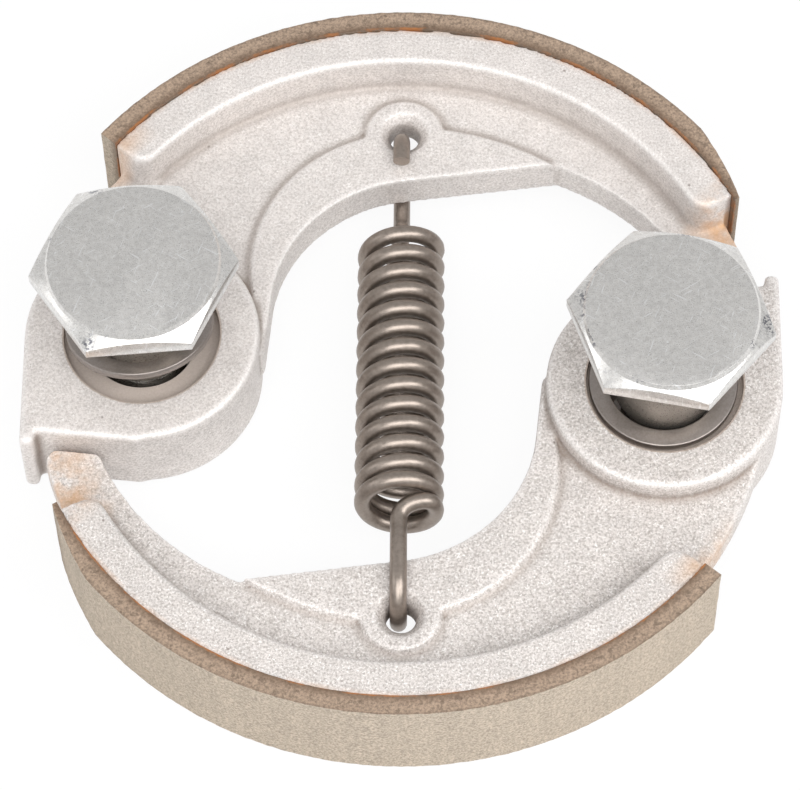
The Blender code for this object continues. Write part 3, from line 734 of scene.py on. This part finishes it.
INNER_EDGE_DISTANCE = 0.0206
WIRE_CLEARANCE = 0.0003
LOW_LEG, HIGH_LEG = 0.00298, 0.00952
LEG_START, LEG_RISE = 0.0017, 0.8
HOOK_BEND, TAIL_LENGTH = (HIGH_LEG - LOW_LEG) / 2, 0.0004
COIL_REAR_HEIGHT, COIL_FRONT_HEIGHT = 0.0047, 0.0074
COIL_MIDDLE = Vector((-0.00025, 0, (COIL_REAR_HEIGHT + COIL_FRONT_HEIGHT) / 2)) - 0.0001 * HOOK_WAY
COIL_START, STEPS_PER_TURN = math.radians(-90), 48
LAST_TURNS, CLOSING = 1.3, 0.0007
UP = Vector((0, 0, 1))


class CLUTCH_OT_spring(bpy.types.Operator):
    """Model the hooked return spring in two halves that meet in the middle of the coil"""

    bl_idname = "clutch.spring"
    bl_label = "Return spring"

    def execute(self, context):
        sizes = context.scene.clutch_sizes
        finish = steel("oil_tempered_spring_wire", context.scene.clutch_colours.wire, 0.38, 2600)
        points = self.centre_line(sizes)
        middle = len(points) // 2
        for name, body, part, way in (
                ("return_spring_rear_half", "rear_shoe", points[:middle + 1], HOOK_WAY),
                ("return_spring_front_half", "front_shoe", points[middle:], -HOOK_WAY)):
            half = self.wire(name, part, sizes)
            choose(half)
            bpy.ops.object.shade_smooth_by_angle(angle=math.radians(50))
            half.data.materials.clear()
            half.data.materials.append(finish)
            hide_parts("return_spring")
            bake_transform(half)
        return {"FINISHED"}

    def wire(self, name, points, sizes):
        """A round wire along its centre line, as a mesh."""
        curve = bpy.data.curves.new(name, "CURVE")
        curve.dimensions = "3D"
        curve.bevel_depth = sizes.wire_radius
        curve.bevel_resolution = 5
        curve.use_fill_caps = True
        spline = curve.splines.new("POLY")
        spline.points.add(len(points) - 1)
        for knot, point in zip(spline.points, points):
            knot.co = (*point, 1)
        wire = bpy.data.objects.new(name, curve)
        bpy.context.scene.collection.objects.link(wire)
        choose(wire)
        bpy.ops.object.convert(target="MESH")
        return bpy.context.active_object

    def run(self, start, start_pull, end, end_pull, count=14):
        """Points of a cubic curve between two points, the start left out."""
        points = []
        for i in range(1, count + 1):
            t = i / count
            blend = (1 - t) ** 3 * start + 3 * (1 - t) ** 2 * t * (start + start_pull)
            points.append(blend + 3 * (1 - t) * t ** 2 * (end - end_pull) + t ** 3 * end)
        return points

    def bend(self, centre, ahead, up, radius, count=24):
        """Points of a half round in the plane of two directions."""
        steps = (math.pi * (i / count - 0.5) for i in range(count + 1))
        return [centre + radius * (math.cos(step) * ahead + math.sin(step) * up) for step in steps]

    def hook(self, sizes, coil_end, tangent, axis_point, ahead, up, height):
        """Wire from the last turn in over the axis, along its leg and round through the hook hole."""
        level = Vector((COIL_MIDDLE.x, 0, height))
        edge = level + ahead * (INNER_EDGE_DISTANCE - sizes.wire_radius)
        seat = level + ahead * (HOOK_HOLE_DISTANCE - HOOK_HOLE_RADIUS + sizes.wire_radius + WIRE_CLEARANCE)
        centre = seat + (up - ahead) * HOOK_BEND
        leg = axis_point + ahead * LEG_START
        leg.z += (height - leg.z) * LEG_RISE
        pull = ahead * LEG_START
        points = self.run(coil_end, tangent * sizes.coil_radius / 2, leg, pull)
        points += self.run(leg, pull, edge, pull)
        points += self.bend(centre, ahead, up, HOOK_BEND)
        return points + [points[-1] - ahead * TAIL_LENGTH]

    def centre_line(self, sizes):
        """Centre line of the wire, from the rear shoe's hook hole to the front shoe's."""
        rise = (COIL_FRONT_HEIGHT - COIL_REAR_HEIGHT) / sizes.coil_length
        axis = (rise * UP - HOOK_WAY).normalized()
        side = UP.cross(axis).normalized()
        top = axis.cross(side)
        steps = round(sizes.coil_turns * STEPS_PER_TURN)
        coil = []
        for i in range(steps + 1):
            angle = COIL_START + math.tau * sizes.coil_turns * i / steps
            closing = max(0, 1 - (1 - i / steps) * sizes.coil_turns / LAST_TURNS) * CLOSING
            along = (i / steps - 0.5) * sizes.coil_length - closing
            around = math.cos(angle) * side + math.sin(angle) * top
            coil.append(COIL_MIDDLE + axis * along + sizes.coil_radius * around)
        first, last = (coil[1] - coil[0]).normalized(), (coil[-1] - coil[-2]).normalized()
        half = axis * sizes.coil_length / 2
        front_end = COIL_MIDDLE + half - axis * CLOSING
        rear = self.hook(sizes, coil[0], -first, COIL_MIDDLE - half, HOOK_WAY, UP, LOW_LEG)
        front = self.hook(sizes, coil[-1], last, front_end, -HOOK_WAY, -UP, HIGH_LEG)
        return list(reversed(rear)) + coil + front


# Stage

class CLUTCH_OT_stage(bpy.types.Operator):
    """Lay the floor, hang the lamps and set up the camera"""

    bl_idname = "clutch.stage"
    bl_label = "Floor, lamps and camera"

    def execute(self, context):
        colours = context.scene.clutch_colours
        bpy.ops.mesh.primitive_plane_add(size=3, location=(0, 0, 0))
        floor = bpy.context.active_object
        floor.name = "floor"
        floor.data.materials.append(paper_floor(colours))
        self.lamp("front_softbox", (0.0, -0.45, 0.72), 0.6, 4.3)
        self.lamp("left_softbox", (-0.75, -0.1, 0.45), 0.4, 0.7)
        self.lamp("right_softbox", (0.34, -0.14, 0.4), 0.3, 1.25)
        self.sky()
        self.camera(context.scene)
        context.scene.view_settings.view_transform = "Standard"
        return {"FINISHED"}

    def lamp(self, name, place, size, power):
        """A square softbox that looks at the clutch."""
        bpy.ops.object.light_add(type="AREA", location=place)
        lamp = bpy.context.active_object
        lamp.name = name
        lamp.data.size = size
        lamp.data.energy = power
        lamp.rotation_euler = (-Vector(place)).to_track_quat("-Z", "Y").to_euler()

    def sky(self):
        """Even white light from all round; the camera sees plain white."""
        world = bpy.data.worlds.new("white_room")
        bpy.context.scene.world = world
        world.use_nodes = True
        tree = world.node_tree
        path = add(tree, "ShaderNodeLightPath")
        strength = add(tree, "ShaderNodeMapRange", {
            "Value": path.outputs["Is Camera Ray"], "To Min": 0.6, "To Max": 1.0})
        back = tree.nodes["Background"]
        back.inputs["Color"].default_value = (1, 1, 1, 1)
        tree.links.new(strength.outputs["Result"], back.inputs["Strength"])

    def camera(self, scene):
        """A long lens that looks down at 62 degrees."""
        bpy.ops.object.camera_add(location=(0.02329, -0.19123, 0.36176))
        camera = bpy.context.active_object
        camera.data.lens = 189.1
        camera.data.clip_start = 0.01
        turn = Matrix.Rotation(math.radians(7.03), 4, "Z") @ Matrix.Rotation(math.radians(28.2), 4, "X")
        turn = turn @ Matrix.Rotation(math.radians(-0.933), 4, "Z")
        camera.rotation_euler = turn.to_euler()
        scene.camera = camera


# Panel and registration

class CLUTCH_PT_panel(bpy.types.Panel):
    """Pieces of the clutch and its stage"""

    bl_idname = "CLUTCH_PT_panel"
    bl_label = "Centrifugal clutch"
    bl_space_type = "VIEW_3D"
    bl_region_type = "UI"
    bl_category = "Clutch"

    def draw(self, context):
        for maker in MAKERS:
            self.layout.operator(maker.bl_idname)
        for group in (context.scene.clutch_sizes, context.scene.clutch_colours):
            box = self.layout.box()
            for name in type(group).__annotations__:
                box.prop(group, name)


MAKERS = (CLUTCH_OT_castings, CLUTCH_OT_linings, CLUTCH_OT_bolts, CLUTCH_OT_washers, CLUTCH_OT_spring,
          CLUTCH_OT_stage)
CLASSES = (ClutchSizes, ClutchColours) + MAKERS + (CLUTCH_PT_panel,)


def register():
    """Register every class and hang the settings on the scene."""
    for item in CLASSES:
        bpy.utils.register_class(item)
    bpy.types.Scene.clutch_sizes = bpy.props.PointerProperty(type=ClutchSizes)
    bpy.types.Scene.clutch_colours = bpy.props.PointerProperty(type=ClutchColours)


def unregister():
    """Take the settings and the classes away again."""
    del bpy.types.Scene.clutch_sizes
    del bpy.types.Scene.clutch_colours
    for item in reversed(CLASSES):
        bpy.utils.unregister_class(item)


def main():
    """Make every piece and the stage."""
    register()
    bpy.ops.clutch.castings()
    bpy.ops.clutch.linings()
    bpy.ops.clutch.bolts()
    bpy.ops.clutch.washers()
    bpy.ops.clutch.spring()
    bpy.ops.clutch.stage()


if __name__ == "__main__":
    main()
